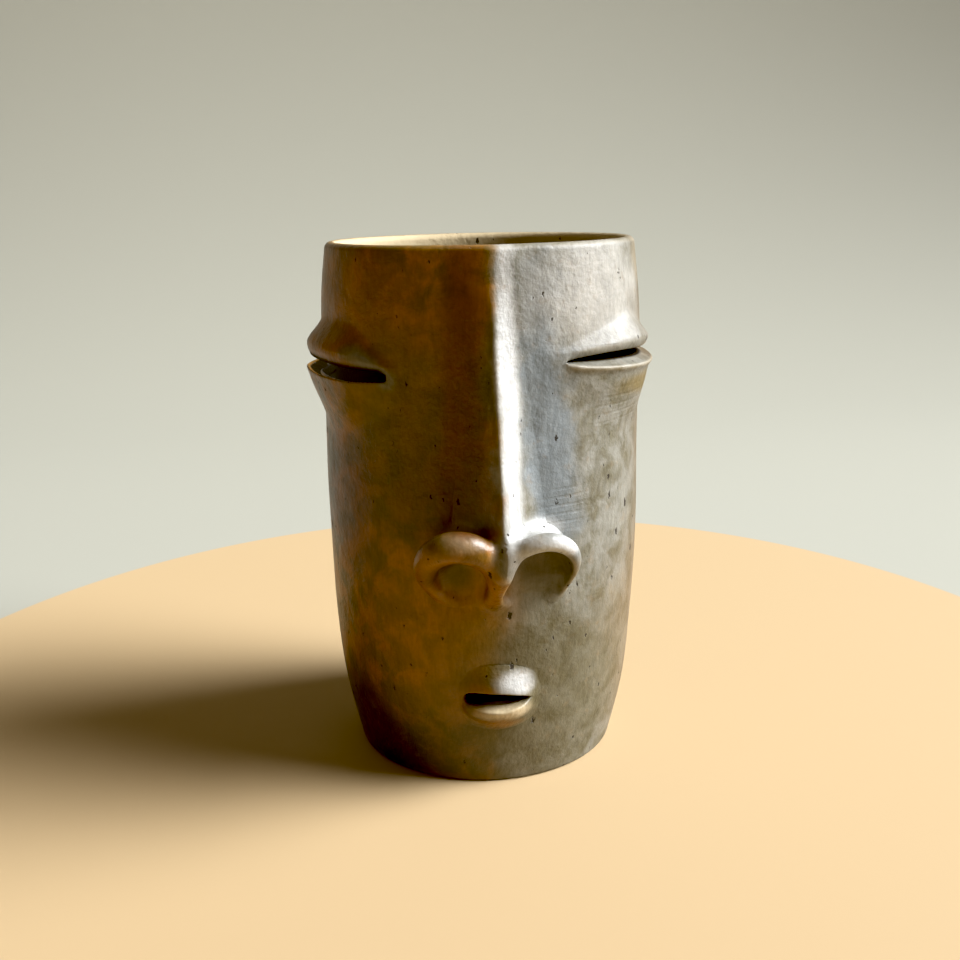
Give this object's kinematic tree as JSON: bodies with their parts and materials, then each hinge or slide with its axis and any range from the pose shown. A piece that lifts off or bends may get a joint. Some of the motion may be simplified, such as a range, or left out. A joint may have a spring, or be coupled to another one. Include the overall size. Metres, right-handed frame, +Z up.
{
  "type": "face mug",
  "caption": "Tall straight-sided clay cup with a stylised face: ridge nose with open nostril cups, slit eyes and a small slit mouth.",
  "frame": {"origin": "centre of the flat underside", "axes": "+Z up along the mug's axis, the face looks towards -Y, +X to the right of someone facing the face"},
  "size_m": [0.1103, 0.1208, 0.17],
  "materials": {
    "base_disc": "burnished low-fired clay, smoke-darkened",
    "body_wall": "burnished low-fired clay, satin, smoke-clouded ochre to olive brown",
    "rim_coil": "burnished low-fired clay, satin, paler on the lip",
    "nose_bridge": "burnished low-fired clay, satin, paler on the crest",
    "nose_septum": "burnished low-fired clay, satin",
    "nose_wings": "burnished low-fired clay, satin, ochre",
    "eyelids": "burnished low-fired clay, satin",
    "lips": "burnished low-fired clay, satin, paler tan"
  },
  "bodies": {
    "root": {"base_disc": "base_disc", "body_wall": "body_wall", "rim_coil": "rim_coil", "nose_bridge": "nose_bridge", "nose_septum": "nose_septum", "nose_wing_left": "nose_wings", "nose_wing_right": "nose_wings", "eyelid_upper_left": "eyelids", "eyelid_lower_left": "eyelids", "eyelid_upper_right": "eyelids", "eyelid_lower_right": "eyelids", "upper_lip": "lips", "lower_lip": "lips"}
  },
  "joints": []
}
